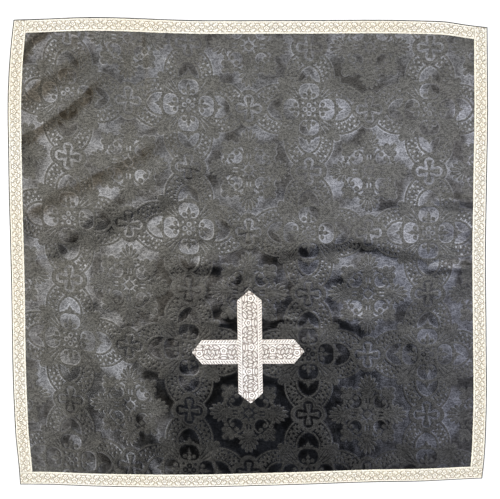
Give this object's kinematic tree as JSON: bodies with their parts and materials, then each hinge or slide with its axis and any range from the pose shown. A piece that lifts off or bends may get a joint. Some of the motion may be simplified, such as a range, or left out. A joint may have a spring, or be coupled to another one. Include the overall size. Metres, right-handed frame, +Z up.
{
  "type": "chalice veil",
  "caption": "Square black damask chalice veil lying flat with soft folds, edged with silver galloon, with a galloon cross in its lower half.",
  "frame": {"origin": "middle of the cloth's box, on the surface that it lies on", "axes": "+Z up through the cloth, +Y towards the edge farthest from the cross, +X to the right as seen from above"},
  "size_m": [0.5362, 0.5276, 0.0043],
  "materials": {
    "black_damask": "black satin-ground damask, slightly glossy ground with a matte woven figure",
    "narrow_galloon": "silver-white metallic galloon with a small woven vine and cream edges",
    "wide_galloon": "silver-white metallic galloon with a woven scroll between rope borders"
  },
  "bodies": {
    "root": {"veil_panel": "black_damask", "galloon_left": "narrow_galloon", "galloon_right": "narrow_galloon", "galloon_top": "narrow_galloon", "galloon_bottom": "narrow_galloon", "cross_bar": "wide_galloon", "cross_upright": "wide_galloon"}
  },
  "joints": []
}
